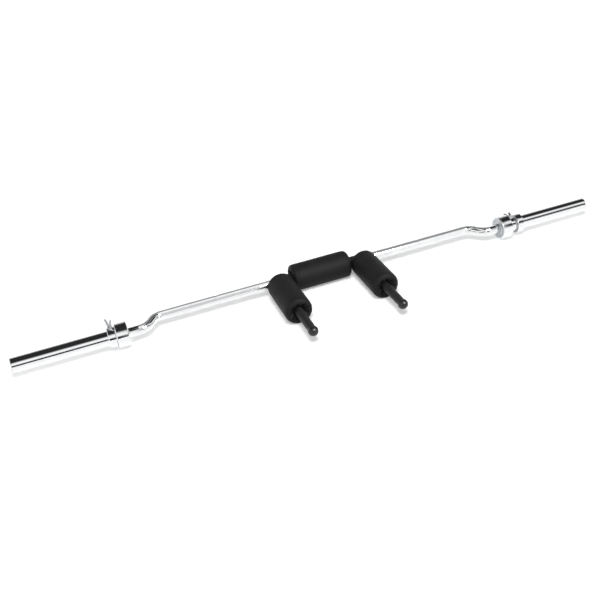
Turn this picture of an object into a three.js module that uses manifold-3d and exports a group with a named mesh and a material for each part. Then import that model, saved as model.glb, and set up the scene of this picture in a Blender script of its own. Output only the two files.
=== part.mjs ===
// Safety squat bar: a chromed bar with an S-bend near each end, a pair of padded shoulder arms
// with ball-ended grips, a padded neck roll, and a turning plate sleeve with a lock ring at each end.
// X runs along the bar, the arms point to -Y and Z is up. The origin is on the floor, straight
// below the middle of the bar's axis. All lengths are in millimetres.

import * as THREE from 'three';
import { mergeVertices } from 'three/addons/utils/BufferGeometryUtils.js';
import Module from 'manifold-3d';

const wasm = await Module();
wasm.setup();

// Fits between neighbouring pieces, and how far a cutter passes what it cuts
const seatGap = 0.3;
const softGap = 0.5;
const overrun = 6;

// Bar, and the spindle welded to each end of it
const overallLength = 2134;
const shaftDiameter = 32;
const markSpacing = 764;
const markWidth = 9;
const markDepth = 1.2;
const bendStart = 572;
const bendLength = 88;
const stubLength = 34;
const sleeveOffset = 50;
const spindleStep = 2;
const spindleEndSpace = 21;
const spindleChamfer = 1.5;

// Turning sleeve and its collar
const sleeveDiameter = 50;
const sleeveWall = 6;
const collarRise = 16;
const collarWidth = 41;
const collarLip = 6;
const collarBevel = 2.5;
const collarClearance = 0.8;
const endCapFlange = 3;
const endCapPlug = 12;
const endCapDish = 1;
const endCapRim = 6;
const endCapBevel = 1.2;

// Bushings, washers and circlip inside the sleeve
const bushingLength = 35;
const washerThickness = 2;
const circlipThickness = 2;
const circlipSeatDepth = 1.1;
const circlipBand = 3.2;
const circlipLugRadius = 2.6;
const circlipEyeRadius = 1.1;

// Lock ring and wing screw
const lockRingRise = 9.5;
const lockRingWidth = 25;
const lockRingBevel = 1.6;
const rightLockRingShift = 26;
const screwDiameter = 10;
const screwHubRise = 2;
const screwHubHeight = 6;
const wingHeight = 28;
const wingSpan = 27;
const wingEarWidth = 5;
const wingThickness = 4;
const wingFootWidth = 15;
const wingValleyHeight = 6;
const leftScrewAngle = 90;
const rightScrewAngle = 10;
const leftWingTurn = -43;
const rightWingTurn = 0;

// Yoke: the tube round the bar's middle and the two arms welded to it
const yokeTubeWall = 2.7;
const yokeTubeOverhang = 9;
const yokeWeldLeg = 3;
const armSpacing = 313.4;
const armDiameter = 22;
const armWall = 2.5;
const armReach = 348;
const armWeldHeight = 7;
const armWeldRoot = 7;
const armWeldToe = 1.5;

// Rubber grips
const gripRootWall = 4.2;
const gripNeckWall = 2.9;
const gripBallLip = 3;
const gripEndWall = 14;
const gripRibDepth = 0.6;
const gripRibPitch = 10;

// Pads: foam rolls in covers whose ends are gathered into pleats
const padDiameter = 95;
const padFlatDepth = 0.5;
const padCrown = 1;
const padShoulder = 14;
const coverThickness = 1.5;
const shoulderPadStart = 15;
const shoulderPadEnd = 213;
const neckPadLeftGap = 0.8;
const neckPadRightGap = 2.5;
const gatherDepth = 8;
const pleatDepth = 4;
const foamBevel = 6;
const dishShare = 0.35;
const dishPleatShare = 0.8;
const rimPleatShare = 0.5;

// Counts
const pleatCount = 12;
const pointsPerPleat = 4;
const outsideSteps = 2;
const insideSteps = 1;
const roundSides = 28;
const smallSides = 24;
const bendSteps = 5;
const ballSteps = 6;
const curveSteps = 3;
const circlipSteps = 10;
const lugSteps = 5;

// Radii, heights and places that follow from the sizes above
const shaftRadius = shaftDiameter / 2;
const spindleRadius = shaftRadius - spindleStep;
const sleeveRadius = sleeveDiameter / 2;
const sleeveBore = sleeveRadius - sleeveWall;
const sleeveStart = bendStart + bendLength + stubLength;
const sleeveLength = overallLength / 2 - sleeveStart;
const lockRingRadius = sleeveRadius + lockRingRise;
const yokeTubeRadius = shaftRadius + seatGap + yokeTubeWall;
const yokeTubeEnd = (armSpacing + armDiameter) / 2 + yokeTubeOverhang;
const armRadius = armDiameter / 2;
const armBore = armRadius + seatGap;
const gripNeckRadius = armBore + gripNeckWall;
const gripRootRadius = armBore + gripRootWall;
const gripBallRadius = gripNeckRadius + gripBallLip;
const padRadius = padDiameter / 2;
const barHeight = padRadius - padFlatDepth;
const foamInset = gatherDepth + pleatDepth + coverThickness + seatGap;
const gripStart = shoulderPadEnd - foamInset + seatGap;
const neckPadStart = -(armSpacing - padDiameter) / 2 + neckPadLeftGap;
const neckPadEnd = (armSpacing - padDiameter) / 2 - neckPadRightGap;

// Places inside the sleeve, measured outwards from the collar's inner face
const tubeX = collarLip + seatGap;
const shoulderX = tubeX + seatGap;
const thrustWasherX = shoulderX + seatGap;
const innerBushingX = thrustWasherX + washerThickness + seatGap;
const spindleEndX = sleeveLength - spindleEndSpace;
const circlipX = spindleEndX - circlipThickness - 2 * washerThickness;
const retainingWasherX = circlipX - seatGap - washerThickness;
const outerBushingX = retainingWasherX - seatGap - bushingLength;
const lockRingX = collarWidth + seatGap;

// Finishes
const finishes = {
  chrome: { color: 0xd8dadc, roughness: 0.08, metalness: 1 },
  bronze: { color: 0xb08d57, roughness: 0.35, metalness: 1 },
  steel: { color: 0x9a9c9e, roughness: 0.35, metalness: 1 },
  blackSteel: { color: 0x17181a, roughness: 0.45, metalness: 0.2 },
  rubber: { color: 0x1b1b1c, roughness: 0.6, metalness: 0 },
  foam: { color: 0x2a2a2c, roughness: 0.95, metalness: 0 },
  fabric: { color: 0x1c1c1e, roughness: 0.85, metalness: 0 },
};

// A closed geometry with shared corners, no collapsed faces, and every face turned outwards
function closed(geometry) {
  geometry.deleteAttribute('normal');
  geometry.deleteAttribute('uv');
  const merged = mergeVertices(geometry);
  const position = merged.getAttribute('position');
  const index = merged.index.array;
  const corners = [new THREE.Vector3(), new THREE.Vector3(), new THREE.Vector3()];
  const faces = [];
  let volume = 0;
  for (let i = 0; i < index.length; i += 3) {
    const face = [index[i], index[i + 1], index[i + 2]];
    if (new Set(face).size < 3) continue;
    const [a, b, c] = face.map((vertex, k) => corners[k].fromBufferAttribute(position, vertex));
    volume += a.dot(b.cross(c));
    faces.push(face);
  }
  merged.setIndex(faces.flatMap(([a, b, c]) => (volume < 0 ? [a, c, b] : [a, b, c])));
  return merged;
}

// From a geometry to a solid that can be cut and joined, and back
function solid(geometry) {
  const body = closed(geometry);
  return new wasm.Manifold(new wasm.Mesh({
    numProp: 3,
    vertProperties: Float32Array.from(body.getAttribute('position').array),
    triVerts: Uint32Array.from(body.index.array),
  }));
}

function geometryOf(body) {
  const { vertProperties, triVerts } = body.getMesh();
  const geometry = new THREE.BufferGeometry();
  geometry.setAttribute('position', new THREE.BufferAttribute(vertProperties, 3));
  geometry.setIndex(new THREE.BufferAttribute(triVerts, 1));
  return geometry;
}

// A named piece with its finish
function piece(name, geometry, finish) {
  const mesh = new THREE.Mesh(closed(geometry), new THREE.MeshStandardMaterial(finishes[finish]));
  mesh.name = name;
  return mesh;
}

// A shape turned about the X axis from [along, radius] points that close on themselves
function turned(points, sides = roundSides) {
  const profile = [...points, points[0]].map(([along, radius]) => new THREE.Vector2(radius, along));
  return new THREE.LatheGeometry(profile, sides).rotateZ(-Math.PI / 2);
}

function ring(start, end, inner, outer, sides) {
  return turned([[start, inner], [start, outer], [end, outer], [end, inner]], sides);
}

function rod(start, end, radius, sides) {
  return turned([[start, 0], [start, radius], [end, radius], [end, 0]], sides);
}

// A skin over rings of points, which closes round on itself or has a flat cap at each end
function loft(rings, endless) {
  const count = rings[0].length;
  const faces = [];
  const spans = endless ? rings.length : rings.length - 1;
  for (let span = 0; span < spans; span += 1) {
    const near = span * count;
    const far = ((span + 1) % rings.length) * count;
    for (let k = 0; k < count; k += 1) {
      const next = (k + 1) % count;
      faces.push(near + k, near + next, far + k);
      faces.push(near + next, far + next, far + k);
    }
  }
  const last = (rings.length - 1) * count;
  for (let k = 1; !endless && k < count - 1; k += 1) {
    faces.push(0, k + 1, k);
    faces.push(last, last + k, last + k + 1);
  }
  const places = rings.flat().flatMap((point) => point.toArray());
  const geometry = new THREE.BufferGeometry();
  geometry.setAttribute('position', new THREE.Float32BufferAttribute(places, 3));
  geometry.setIndex(faces);
  return geometry;
}

// Each S-bend is two equal arcs that meet halfway, so the bar ends parallel to its middle
function bendStations() {
  const bendRadius = (bendLength ** 2 + sleeveOffset ** 2) / (4 * sleeveOffset);
  const bendAngle = 2 * Math.atan(sleeveOffset / bendLength);
  const first = [];
  const second = [];
  for (let step = 0; step <= bendSteps; step += 1) {
    const angle = (bendAngle * step) / bendSteps;
    const along = bendRadius * Math.sin(angle);
    const across = bendRadius * (1 - Math.cos(angle));
    first.push({ x: bendStart + along, y: -across, angle: -angle, radius: shaftRadius });
    second.push({
      x: bendStart + bendLength - along,
      y: across - sleeveOffset,
      angle: -angle,
      radius: shaftRadius,
    });
  }
  return [...first, ...second.slice(0, -1).reverse()];
}

// The right half of the bar, from its grip mark out to its end inside the sleeve's collar
function halfBarStations() {
  const straight = (x, y, radius) => ({ x, y, angle: 0, radius });
  const markStart = (markSpacing - markWidth) / 2;
  const markEnd = markStart + markWidth;
  return [
    straight(markStart, 0, shaftRadius),
    straight(markStart, 0, shaftRadius - markDepth),
    straight(markEnd, 0, shaftRadius - markDepth),
    straight(markEnd, 0, shaftRadius),
    ...bendStations(),
    straight(sleeveStart + shoulderX, -sleeveOffset, shaftRadius),
  ];
}

function barGeometry() {
  const right = halfBarStations();
  const left = right.map((station) => ({ ...station, x: -station.x, angle: -station.angle }));
  const rings = [...left.reverse(), ...right].map(({ x, y, angle, radius }) => {
    const points = [];
    for (let k = 0; k < smallSides; k += 1) {
      const turn = (2 * Math.PI * k) / smallSides;
      const out = radius * Math.cos(turn);
      const up = radius * Math.sin(turn);
      points.push(new THREE.Vector3(x - out * Math.sin(angle), y + out * Math.cos(angle), up));
    }
    return points;
  });
  return loft(rings, false);
}

// Spindle, sleeve, collar and end cap, drawn outwards along X from the collar's inner face
function spindleGeometry() {
  const circlipSeat = spindleRadius - circlipSeatDepth;
  const circlipStart = circlipX - seatGap;
  const circlipEnd = circlipX + circlipThickness + seatGap;
  return turned([
    [shoulderX + seatGap, 0],
    [shoulderX + seatGap, spindleRadius],
    [circlipStart, spindleRadius],
    [circlipStart, circlipSeat],
    [circlipEnd, circlipSeat],
    [circlipEnd, spindleRadius],
    [spindleEndX - spindleChamfer, spindleRadius],
    [spindleEndX, spindleRadius - spindleChamfer],
    [spindleEndX, 0],
  ], smallSides);
}

function sleeveGeometry() {
  return ring(tubeX, sleeveLength - endCapFlange - seatGap, sleeveBore, sleeveRadius);
}

function collarGeometry() {
  const radius = sleeveRadius + collarRise;
  return turned([
    [0, shaftRadius + collarClearance],
    [0, radius - collarBevel],
    [collarBevel, radius],
    [collarWidth - collarBevel, radius],
    [collarWidth, radius - collarBevel],
    [collarWidth, sleeveRadius + seatGap],
    [collarLip, sleeveRadius + seatGap],
    [collarLip, shaftRadius + collarClearance],
  ]);
}

function endCapGeometry() {
  const flangeX = sleeveLength - endCapFlange;
  const rim = sleeveRadius - endCapRim;
  return turned([
    [flangeX - endCapPlug, 0],
    [flangeX - endCapPlug, sleeveBore - seatGap],
    [flangeX, sleeveBore - seatGap],
    [flangeX, sleeveRadius],
    [sleeveLength - endCapBevel, sleeveRadius],
    [sleeveLength, sleeveRadius - endCapBevel],
    [sleeveLength, rim],
    [sleeveLength - endCapDish, rim - endCapDish],
    [sleeveLength - endCapDish, 0],
  ]);
}

// Bushings and washers fill the space between the spindle and the sleeve
function spindleRing(start, length) {
  return ring(start, start + length, spindleRadius + seatGap, sleeveBore - seatGap, smallSides);
}

// Circlip: an open ring that ends in two lugs, each with a hole for the pliers
function circlipGeometry() {
  const inner = spindleRadius - circlipSeatDepth + seatGap;
  const lugPlace = inner + circlipLugRadius;
  const lugTurn = (2 * circlipLugRadius) / lugPlace;
  const band = new THREE.Shape();
  band.absarc(0, 0, inner + circlipBand, lugTurn, 2 * Math.PI - lugTurn, false);
  band.absarc(0, 0, inner, 2 * Math.PI - lugTurn, lugTurn, true);
  const flat = { depth: circlipThickness, bevelEnabled: false, curveSegments: lugSteps };
  let clip = solid(new THREE.ExtrudeGeometry(band, { ...flat, curveSegments: circlipSteps }));
  const lug = new THREE.Shape();
  lug.absarc(lugPlace, 0, circlipLugRadius, 0, 2 * Math.PI);
  const eye = new THREE.Shape();
  eye.absarc(lugPlace, 0, circlipEyeRadius, 0, 2 * Math.PI);
  for (const turn of [-lugTurn, lugTurn]) {
    const lugSolid = solid(new THREE.ExtrudeGeometry(lug, flat).rotateZ(turn));
    const eyeCut = new THREE.ExtrudeGeometry(eye, { ...flat, depth: circlipThickness + 2 * overrun });
    clip = clip.add(lugSolid).subtract(solid(eyeCut.translate(0, 0, -overrun).rotateZ(turn)));
  }
  return geometryOf(clip).rotateY(Math.PI / 2).translate(circlipX, 0, 0);
}

// Lock ring, centred on its screw hole, which runs up along Z
function lockRingGeometry() {
  const end = lockRingWidth / 2;
  const body = turned([
    [-end, sleeveRadius + seatGap],
    [-end, lockRingRadius - lockRingBevel],
    [lockRingBevel - end, lockRingRadius],
    [end - lockRingBevel, lockRingRadius],
    [end, lockRingRadius - lockRingBevel],
    [end, sleeveRadius + seatGap],
  ]);
  const hole = rod(0, lockRingRadius + overrun, screwDiameter / 2 + seatGap, smallSides);
  return geometryOf(solid(body).subtract(solid(hole.rotateY(-Math.PI / 2))));
}

// Wing screw along Z, measured from the sleeve's axis: a shank, a hub and two flared ears
function wingScrewGeometry() {
  const hubStart = lockRingRadius + seatGap;
  const hubEnd = hubStart + screwHubHeight;
  const hubRadius = screwDiameter / 2 + screwHubRise;
  const screw = turned([
    [sleeveRadius + seatGap, 0],
    [sleeveRadius + seatGap, screwDiameter / 2],
    [hubStart, screwDiameter / 2],
    [hubStart, hubRadius],
    [hubEnd, hubRadius],
    [hubEnd, 0],
  ], smallSides).rotateY(-Math.PI / 2);

  const foot = wingFootWidth / 2;
  const tip = wingSpan / 2;
  const halfEar = wingEarWidth / 2;
  const waist = (foot + tip) / 2 - halfEar;
  const valley = hubEnd + wingValleyHeight;
  const top = hubEnd + wingHeight;
  const middle = (hubEnd + top) / 2;
  const ear = new THREE.Shape();
  ear.moveTo(0, (hubStart + hubEnd) / 2);
  ear.lineTo(foot - wingThickness / 2, (hubStart + hubEnd) / 2);
  ear.quadraticCurveTo(foot, hubEnd, waist + halfEar, middle);
  ear.quadraticCurveTo(waist + halfEar, top - wingEarWidth, tip, top - halfEar);
  ear.quadraticCurveTo(tip, top, tip - halfEar, top);
  ear.quadraticCurveTo(waist - halfEar, top, waist - halfEar, middle);
  ear.quadraticCurveTo(waist - halfEar, valley, 0, valley);
  const rightEar = ear.getPoints(curveSteps);
  const leftEar = rightEar.slice(1, -1).reverse().map((point) => new THREE.Vector2(-point.x, point.y));
  const flat = { depth: wingThickness, bevelEnabled: false };
  const wings = new THREE.ExtrudeGeometry(new THREE.Shape([...rightEar, ...leftEar]), flat);
  wings.rotateX(Math.PI / 2).translate(0, wingThickness / 2, 0);
  return geometryOf(solid(screw).add(solid(wings)));
}

// Yoke tube and the fillet at its end
function yokeTubeGeometry() {
  return ring(-yokeTubeEnd, yokeTubeEnd, shaftRadius + seatGap, yokeTubeRadius);
}

function yokeWeldGeometry() {
  const start = yokeTubeEnd + seatGap;
  const inner = shaftRadius + seatGap;
  return turned([
    [start, inner],
    [start, yokeTubeRadius],
    [start + yokeWeldLeg / 2, inner + yokeWeldLeg * Math.SQRT1_2],
    [start + yokeWeldLeg, inner],
  ], smallSides);
}

// What meets the yoke tube is drawn forwards along X and cut round the bar's axis, which lies on Y
function yokeCutter(clearance) {
  const reach = padRadius + overrun;
  return solid(rod(-reach, reach, yokeTubeRadius + clearance, roundSides).rotateZ(Math.PI / 2));
}

function armGeometry() {
  const end = armReach - gripEndWall - seatGap;
  const tube = ring(0, end, armRadius - armWall, armRadius, smallSides);
  return geometryOf(solid(tube).subtract(yokeCutter(seatGap)));
}

function armWeldSolid(growth) {
  const inner = armBore - growth;
  const start = yokeTubeRadius - armWeldHeight - growth;
  const end = yokeTubeRadius + armWeldHeight + growth;
  return solid(turned([
    [start, inner],
    [start, armBore + armWeldRoot + growth],
    [end, armBore + armWeldToe + growth],
    [end, inner],
  ], smallSides));
}

function armWeldGeometry() {
  return geometryOf(armWeldSolid(0).subtract(yokeCutter(seatGap)));
}

// Grip: a tapered rubber sleeve with shallow ribs, a ball end and a blind bore for the arm
function gripGeometry() {
  const ballX = armReach - gripBallRadius;
  const neckX = ballX - Math.sqrt(gripBallRadius ** 2 - gripNeckRadius ** 2);
  const ribCount = Math.floor((neckX - gripStart) / gripRibPitch);
  const ribLength = (neckX - gripStart) / ribCount;
  const points = [[gripStart, armBore]];
  for (let rib = 0; rib < ribCount; rib += 1) {
    const radius = gripRootRadius + ((gripNeckRadius - gripRootRadius) * rib) / ribCount;
    const x = gripStart + rib * ribLength;
    points.push([x, radius - gripRibDepth], [x + ribLength / 2, radius]);
  }
  const neckAngle = Math.acos((neckX - ballX) / gripBallRadius);
  for (let step = 0; step < ballSteps; step += 1) {
    const angle = neckAngle * (1 - step / ballSteps);
    points.push([ballX + gripBallRadius * Math.cos(angle), gripBallRadius * Math.sin(angle)]);
  }
  points.push([armReach, 0], [armReach - gripEndWall, 0], [armReach - gripEndWall, armBore]);
  return turned(points, smallSides);
}

// One end of a cover from its mouth to its side: a dish drawn in round the mouth, then a rounded
// shoulder. Each station is [along, radius, pleat share], and the pleats are deepest at the mouth.
function coverEnd(end, outwards, mouth, inset, steps) {
  const edge = end - outwards * inset;
  const rim = padRadius - padShoulder;
  const shoulder = padShoulder - inset;
  const stations = [
    [edge - outwards * gatherDepth, mouth, 1],
    [edge - outwards * gatherDepth * dishShare, (mouth + rim) / 2, dishPleatShare],
  ];
  for (let step = 0; step <= steps; step += 1) {
    const angle = (Math.PI * step) / (2 * steps);
    stations.push([
      edge - outwards * shoulder * (1 - Math.cos(angle)),
      rim + (shoulder - padCrown) * Math.sin(angle),
      rimPleatShare * Math.cos(angle),
    ]);
  }
  return stations.map(([along, radius, share]) => ({ along, radius, share, outwards }));
}

// Cover along X: a thin skin that goes out over the pad and back inside it
function coverGeometry(start, end, startMouth, endMouth) {
  const skin = (inset, steps) => [
    ...coverEnd(start, -1, startMouth, inset, steps),
    { along: (start + end) / 2, radius: padRadius - inset, share: 0, outwards: 0 },
    ...coverEnd(end, 1, endMouth, inset, steps).reverse(),
  ];
  const columns = pleatCount * pointsPerPleat;
  const stations = [...skin(0, outsideSteps), ...skin(coverThickness, insideSteps).reverse()];
  const rings = stations.map((station) => {
    const points = [];
    for (let k = 0; k < columns; k += 1) {
      const turn = (2 * Math.PI * k) / columns;
      const fold = (pleatDepth * station.share * (1 - Math.cos(pleatCount * turn))) / 2;
      const x = station.along - station.outwards * fold;
      const y = station.radius * Math.cos(turn);
      points.push(new THREE.Vector3(x, y, station.radius * Math.sin(turn)));
    }
    return points;
  });
  return loft(rings, true);
}

// Foam roll inside a cover
function foamGeometry(start, end, bore) {
  const radius = padRadius - coverThickness - padCrown - seatGap;
  return turned([
    [start + foamInset, bore],
    [start + foamInset, radius - foamBevel],
    [start + foamInset + foamBevel, radius],
    [end - foamInset - foamBevel, radius],
    [end - foamInset, radius - foamBevel],
    [end - foamInset, bore],
  ], smallSides);
}

// The floor cuts flat whatever would go below it
function floorCutter() {
  const size = 2 * armReach;
  return solid(new THREE.BoxGeometry(size, size, size).translate(0, 0, -barHeight - size / 2));
}

function shoulderCoverGeometry() {
  const rearMouth = armBore + armWeldRoot + 2 * softGap;
  const frontMouth = gripRootRadius + 2 * softGap;
  const whole = coverGeometry(shoulderPadStart, shoulderPadEnd, rearMouth, frontMouth);
  return geometryOf(solid(whole).subtract(yokeCutter(softGap)).subtract(floorCutter()));
}

function shoulderFoamGeometry() {
  const whole = foamGeometry(shoulderPadStart, shoulderPadEnd, armRadius + softGap);
  return geometryOf(solid(whole).subtract(yokeCutter(softGap)).subtract(armWeldSolid(softGap)));
}

function neckCoverGeometry() {
  const mouth = yokeTubeRadius + 2 * softGap;
  const whole = coverGeometry(neckPadStart, neckPadEnd, mouth, mouth);
  return geometryOf(solid(whole).subtract(floorCutter()));
}

function neckFoamGeometry() {
  return foamGeometry(neckPadStart, neckPadEnd, yokeTubeRadius + softGap);
}

// The assembly: the bar with its yoke and neck pad, then an arm, a sleeve and a lock on each side
const safetySquatBar = new THREE.Group();
const bar = new THREE.Group();
bar.position.z = barHeight;
bar.add(piece('shaft', barGeometry(), 'chrome'));
bar.add(piece('yoke_tube', yokeTubeGeometry(), 'blackSteel'));
bar.add(piece('neck_pad_foam', neckFoamGeometry(), 'foam'));
bar.add(piece('neck_pad_cover', neckCoverGeometry(), 'fabric'));
safetySquatBar.add(bar);

for (const [name, side] of [['left', -1], ['right', 1]]) {
  const outwards = side > 0 ? 0 : Math.PI;
  const weld = piece(`${name}_yoke_weld`, yokeWeldGeometry(), 'blackSteel');
  weld.rotation.z = outwards;
  bar.add(weld);

  const arm = new THREE.Group();
  arm.position.set((side * armSpacing) / 2, 0, barHeight);
  arm.rotation.z = -Math.PI / 2;
  arm.add(piece(`${name}_arm`, armGeometry(), 'blackSteel'));
  arm.add(piece(`${name}_arm_weld`, armWeldGeometry(), 'blackSteel'));
  arm.add(piece(`${name}_grip`, gripGeometry(), 'rubber'));
  arm.add(piece(`${name}_shoulder_pad_foam`, shoulderFoamGeometry(), 'foam'));
  arm.add(piece(`${name}_shoulder_pad_cover`, shoulderCoverGeometry(), 'fabric'));
  safetySquatBar.add(arm);

  const sleeve = new THREE.Group();
  sleeve.position.set(side * sleeveStart, -sleeveOffset, barHeight);
  sleeve.rotation.z = outwards;
  sleeve.add(piece(`${name}_spindle`, spindleGeometry(), 'steel'));
  sleeve.add(piece(`${name}_sleeve`, sleeveGeometry(), 'chrome'));
  sleeve.add(piece(`${name}_sleeve_collar`, collarGeometry(), 'chrome'));
  sleeve.add(piece(`${name}_end_cap`, endCapGeometry(), 'chrome'));
  sleeve.add(piece(`${name}_inner_bushing`, spindleRing(innerBushingX, bushingLength), 'bronze'));
  sleeve.add(piece(`${name}_outer_bushing`, spindleRing(outerBushingX, bushingLength), 'bronze'));
  sleeve.add(piece(`${name}_thrust_washer`, spindleRing(thrustWasherX, washerThickness), 'steel'));
  sleeve.add(piece(`${name}_retaining_washer`, spindleRing(retainingWasherX, washerThickness), 'steel'));
  sleeve.add(piece(`${name}_circlip`, circlipGeometry(), 'steel'));
  safetySquatBar.add(sleeve);

  const lock = new THREE.Group();
  const shift = side > 0 ? rightLockRingShift : 0;
  const lockX = sleeveStart + lockRingX + lockRingWidth / 2 + shift;
  lock.position.set(side * lockX, -sleeveOffset, barHeight);
  lock.rotation.x = THREE.MathUtils.degToRad((side > 0 ? rightScrewAngle : leftScrewAngle) - 90);
  lock.add(piece(`${name}_lock_ring`, lockRingGeometry(), 'chrome'));
  const screw = piece(`${name}_wing_screw`, wingScrewGeometry(), 'steel');
  screw.rotation.z = THREE.MathUtils.degToRad(side > 0 ? rightWingTurn : leftWingTurn);
  lock.add(screw);
  safetySquatBar.add(lock);
}

export default safetySquatBar;
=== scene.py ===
import math
import random

import bpy
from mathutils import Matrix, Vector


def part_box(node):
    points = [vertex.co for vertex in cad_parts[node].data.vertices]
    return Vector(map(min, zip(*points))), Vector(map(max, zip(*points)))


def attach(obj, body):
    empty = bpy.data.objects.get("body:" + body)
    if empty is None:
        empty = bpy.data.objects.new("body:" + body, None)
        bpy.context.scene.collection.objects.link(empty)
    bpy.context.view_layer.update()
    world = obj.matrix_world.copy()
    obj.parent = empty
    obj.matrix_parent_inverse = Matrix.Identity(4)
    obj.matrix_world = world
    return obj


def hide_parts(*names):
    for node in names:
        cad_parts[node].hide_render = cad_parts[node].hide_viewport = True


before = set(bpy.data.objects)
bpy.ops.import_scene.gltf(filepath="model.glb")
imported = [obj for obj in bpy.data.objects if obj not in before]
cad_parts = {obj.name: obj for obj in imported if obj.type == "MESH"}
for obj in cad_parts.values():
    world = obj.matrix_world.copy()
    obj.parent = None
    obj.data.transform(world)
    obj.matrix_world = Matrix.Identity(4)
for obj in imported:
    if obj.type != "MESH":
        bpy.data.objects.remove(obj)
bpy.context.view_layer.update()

# Bar: one cold-drawn steel rod, polished and chrome plated, bent into an S near each end so that
# the sleeves hang in front of it, with a grip mark turned into each side. It is drawn out from its
# middle to the right, bent, and mirrored.
bar_radius = 0.016
bar_height = sum(corner.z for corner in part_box("shaft")) / 2
mark_start = 0.3775
mark_end = 0.3865
mark_depth = 0.0012
bend_start = 0.572
bend_length = 0.088
sleeve_offset = 0.05
bar_end = 0.7006
bend_radius = (bend_length**2 + sleeve_offset**2) / (4 * sleeve_offset)
bend_angle = 2 * math.atan(sleeve_offset / bend_length)


def start_ring(name, centre, radius, sides=96):
    """A circle that faces along X, left in edit mode with its points selected."""
    bpy.ops.object.select_all(action="DESELECT")
    bpy.ops.mesh.primitive_circle_add(
        vertices=sides, radius=radius, location=centre, rotation=(0, math.pi / 2, 0)
    )
    piece = bpy.context.object
    piece.name = name
    bpy.ops.object.transform_apply()
    bpy.ops.object.mode_set(mode="EDIT")
    bpy.ops.mesh.select_all(action="SELECT")
    return piece


def draw_out(centre, stations):
    """Extrudes the selected ring from station to station, each a place along X and a radius."""
    (x, radius), *rest = stations
    for next_x, next_radius in rest:
        bpy.ops.mesh.extrude_region_move(TRANSFORM_OT_translate={"value": (next_x - x, 0, 0)})
        if next_radius != radius:
            size = next_radius / radius
            bpy.ops.transform.resize(value=(1, size, size), center_override=(next_x, *centre))
        x, radius = next_x, next_radius


def soften_edges(width, segments=3, sharpness=30):
    """Rounds every sharp edge of the mesh in edit mode."""
    bpy.ops.mesh.select_all(action="DESELECT")
    bpy.ops.mesh.select_mode(type="EDGE")
    bpy.ops.mesh.edges_select_sharp(sharpness=math.radians(sharpness))
    bpy.ops.mesh.bevel(offset=width, segments=segments, affect="EDGES")
    bpy.ops.mesh.select_mode(type="VERT")


def close_up(smooth=35):
    """Merges doubles, turns every face outwards, leaves edit mode and smooths the shading."""
    bpy.ops.mesh.select_all(action="SELECT")
    bpy.ops.mesh.remove_doubles(threshold=1e-6)
    bpy.ops.mesh.normals_make_consistent(inside=False)
    bpy.ops.object.mode_set(mode="OBJECT")
    bpy.ops.object.shade_smooth_by_angle(angle=math.radians(smooth))


def finish_with(kind, **settings):
    """Adds a modifier to the active object with its settings, and applies it."""
    bpy.ops.object.modifier_add(type=kind)
    modifier = bpy.context.object.modifiers[-1]
    for setting, value in settings.items():
        setattr(modifier, setting, value)
    bpy.ops.object.modifier_apply(modifier=modifier.name)


bar = start_ring("bar", (0, 0, bar_height), bar_radius, sides=64)
draw_out(
    (0, bar_height),
    [
        (0, bar_radius),
        (mark_start, bar_radius),
        (mark_start + 0.0006, bar_radius - mark_depth),
        (mark_end - 0.0006, bar_radius - mark_depth),
        (mark_end, bar_radius),
        (bend_start, bar_radius),
    ],
)
bpy.ops.mesh.spin(
    steps=24,
    angle=bend_angle,
    center=(bend_start, -bend_radius, bar_height),
    axis=(0, 0, 1),
)
bpy.ops.mesh.spin(
    steps=24,
    angle=-bend_angle,
    center=(bend_start + bend_length, bend_radius - sleeve_offset, bar_height),
    axis=(0, 0, 1),
)
draw_out(
    (-sleeve_offset, bar_height), [(bend_start + bend_length, bar_radius), (bar_end, bar_radius)]
)
bpy.ops.mesh.edge_face_add()
bpy.ops.object.mode_set(mode="OBJECT")
finish_with("MIRROR", merge_threshold=1e-5)
bpy.ops.object.mode_set(mode="EDIT")
close_up()


def linear(hex_colour):
    """An sRGB hex colour as the linear colour that a socket takes."""
    values = [int(hex_colour[i : i + 2], 16) / 255 for i in (1, 3, 5)]
    return [v / 12.92 if v <= 0.04045 else ((v + 0.055) / 1.055) ** 2.4 for v in values] + [1]


def add_node(tree, kind, links=None, **settings):
    """Adds a node. A name of a socket in settings sets its value, and links says what feeds it."""
    node = tree.nodes.new("ShaderNode" + kind)
    for name, value in settings.items():
        if hasattr(node, name):
            setattr(node, name, value)
        else:
            node.inputs[name.replace("_", " ")].default_value = value
    for name, source in (links or {}).items():
        tree.links.new(source, node.inputs[name])
    return node


def start_material(name):
    """A new node material with only its output, and the tree it is in."""
    material = bpy.data.materials.new(name)
    material.use_nodes = True
    material.node_tree.nodes.clear()
    return material, material.node_tree


# Bright chromium plate over polished steel. It mirrors the studio with a slightly cool tint, and
# the haze of fine wiping marks along the bar, 0.4 mm apart, softens the mirror by a little.
chrome_plate, tree = start_material("bright_chrome_plate")
place = add_node(tree, "TexCoord")
along = add_node(
    tree, "Mapping", {"Vector": place.outputs["Object"]}, vector_type="POINT", Scale=(8, 400, 400)
)
marks = add_node(tree, "TexNoise", {"Vector": along.outputs[0]}, Scale=6.0, Detail=3.0)
haze = add_node(tree, "TexNoise", {"Vector": place.outputs["Object"]}, Scale=28.0, Detail=4.0)
blend = add_node(
    tree,
    "Math",
    {0: marks.outputs["Fac"], 1: haze.outputs["Fac"]},
    operation="MULTIPLY",
)
gloss = add_node(
    tree,
    "MapRange",
    {"Value": blend.outputs[0]},
    From_Min=0.1,
    From_Max=0.45,
    To_Min=0.035,
    To_Max=0.1,
)
tint = add_node(tree, "ValToRGB", {"Fac": haze.outputs["Fac"]})
tint.color_ramp.elements[0].position = 0.3
tint.color_ramp.elements[0].color = linear("#EEF0F1")
tint.color_ramp.elements[1].position = 0.7
tint.color_ramp.elements[1].color = linear("#F7F8F9")
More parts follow.
